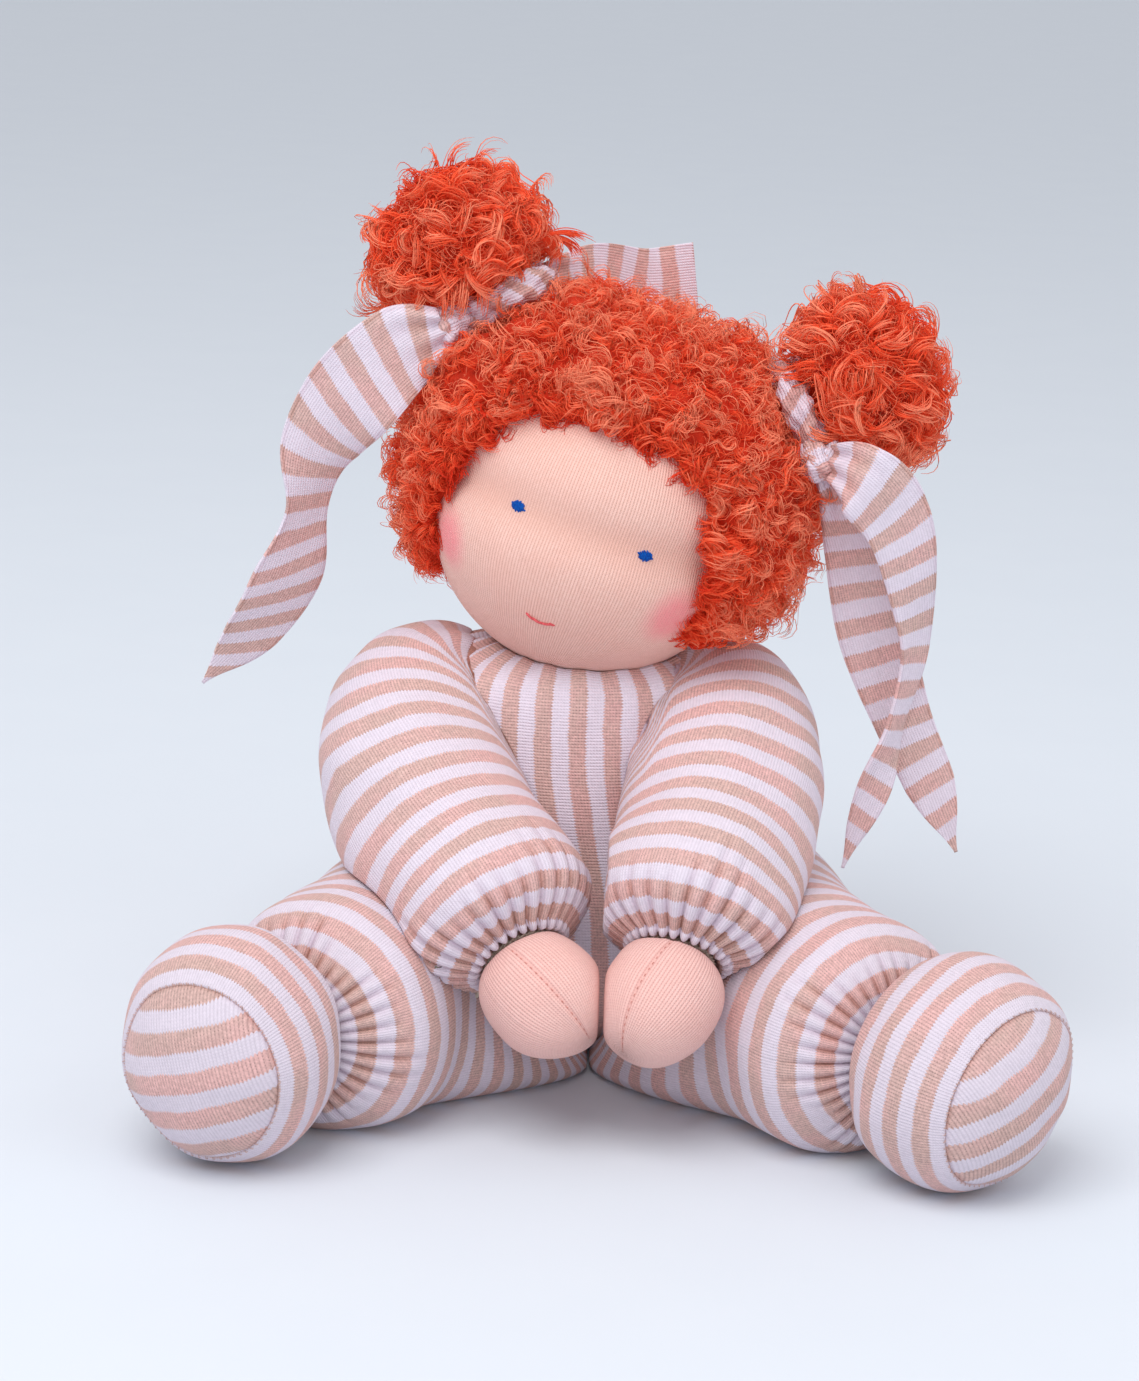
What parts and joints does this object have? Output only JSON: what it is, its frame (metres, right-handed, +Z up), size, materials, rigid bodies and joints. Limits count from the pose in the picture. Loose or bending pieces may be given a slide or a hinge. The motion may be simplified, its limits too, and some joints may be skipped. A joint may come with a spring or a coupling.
{
  "type": "soft doll",
  "caption": "Seated wool-stuffed soft doll in striped jersey, with a curly wig in buns, ribbon bows, a turning head and hinged limbs.",
  "frame": {"origin": "middle of the flat patch under the body that the doll sits on", "axes": "+Z up, the doll looks along -Y and its own left side is +X"},
  "size_m": [0.2921, 0.2214, 0.3013],
  "materials": {
    "striped_jersey": "dusty pink-beige and white stripes, knitted, matt",
    "face_jersey": "fine skin-coloured knit with blushed cheeks, matt",
    "hand_jersey": "fine skin-coloured knit, matt",
    "mohair": "bright orange-red curly mohair pile",
    "wool": "carded wool stuffing",
    "cotton_thread": "twisted cotton thread",
    "blue_thread": "blue embroidery thread, slight sheen",
    "pink_thread": "coral pink embroidery thread, slight sheen"
  },
  "bodies": {
    "body": {"body_cover": "striped_jersey", "body_filling": "wool"},
    "neck": {"neck": "face_jersey", "neck_tie_thread": "cotton_thread"},
    "head": {"head_cover": "face_jersey", "head_filling": "wool", "eye_line_thread": "cotton_thread", "right_eye": "blue_thread", "left_eye": "blue_thread", "mouth": "pink_thread", "wig": "mohair", "right_bun": "mohair", "left_bun": "mohair", "right_bow_wrap": "striped_jersey", "left_bow_wrap": "striped_jersey", "right_bow_knot": "striped_jersey", "left_bow_knot": "striped_jersey", "right_bow_back_end": "striped_jersey"},
    "right_bow_tail": {"right_bow_long_tail": "striped_jersey"},
    "left_bow_tails": {"left_bow_front_tail": "striped_jersey", "left_bow_back_tail": "striped_jersey"},
    "right_arm": {"right_sleeve": "striped_jersey", "right_arm_filling": "wool", "right_wrist_thread": "cotton_thread"},
    "right_hand": {"right_hand_cover": "hand_jersey", "right_hand_filling": "wool"},
    "right_leg": {"right_leg_cover": "striped_jersey", "right_leg_filling": "wool", "right_ankle_thread": "cotton_thread"},
    "right_foot": {"right_foot_cover": "striped_jersey", "right_sole_panel": "striped_jersey", "right_foot_filling": "wool"},
    "left_arm": {"left_sleeve": "striped_jersey", "left_arm_filling": "wool", "left_wrist_thread": "cotton_thread"},
    "left_hand": {"left_hand_cover": "hand_jersey", "left_hand_filling": "wool"},
    "left_leg": {"left_leg_cover": "striped_jersey", "left_leg_filling": "wool", "left_ankle_thread": "cotton_thread"},
    "left_foot": {"left_foot_cover": "striped_jersey", "left_sole_panel": "striped_jersey", "left_foot_filling": "wool"}
  },
  "joints": [
    {"name": "head_turn", "type": "hinge", "parent": "body", "child": "neck", "pos_m": [-0.0035, -0.006, 0.184], "axis": [0, 0, 1], "range_deg": [-8, 25]},
    {"name": "head_tilt", "type": "hinge", "parent": "neck", "child": "head", "pos_m": [-0.0035, -0.006, 0.184], "axis": [0, -1, 0], "range_deg": [0, 12]},
    {"name": "right_bow_swing", "type": "hinge", "parent": "head", "child": "right_bow_tail", "pos_m": [-0.05391, -0.01723, 0.24622], "axis": [1, 0, 0], "range_deg": [-12, 12]},
    {"name": "left_bow_swing", "type": "hinge", "parent": "head", "child": "left_bow_tails", "pos_m": [0.06861, -0.03296, 0.20877], "axis": [1, 0, 0], "range_deg": [-12, 12]},
    {"name": "right_shoulder", "type": "hinge", "parent": "body", "child": "right_arm", "pos_m": [-0.056, -0.002, 0.112], "axis": [1, 0, 0], "range_deg": [-20, 0]},
    {"name": "right_wrist", "type": "hinge", "parent": "right_arm", "child": "right_hand", "pos_m": [-0.023, -0.089, 0.057], "axis": [0.499, -0.635, -0.5897], "range_deg": [-12, 12]},
    {"name": "right_hip", "type": "hinge", "parent": "body", "child": "right_leg", "pos_m": [0, 0, 0.0395], "axis": [-1, 0, 0], "range_deg": [-90, 0]},
    {"name": "right_ankle", "type": "hinge", "parent": "right_leg", "child": "right_foot", "pos_m": [-0.093, -0.109, 0.0365], "axis": [-0.415, -0.9098, 0], "range_deg": [-20, 20]},
    {"name": "left_shoulder", "type": "hinge", "parent": "body", "child": "left_arm", "pos_m": [0.036, -0.002, 0.112], "axis": [-1, 0, 0], "range_deg": [0, 20]},
    {"name": "left_wrist", "type": "hinge", "parent": "left_arm", "child": "left_hand", "pos_m": [0.026, -0.091, 0.059], "axis": [-0.2448, -0.6855, -0.6856], "range_deg": [-12, 12]},
    {"name": "left_hip", "type": "hinge", "parent": "body", "child": "left_leg", "pos_m": [0, 0, 0.0395], "axis": [1, 0, 0], "range_deg": [0, 90]},
    {"name": "left_ankle", "type": "hinge", "parent": "left_leg", "child": "left_foot", "pos_m": [0.095, -0.111, 0.0365], "axis": [0.5011, -0.8654, 0], "range_deg": [-20, 20]}
  ]
}
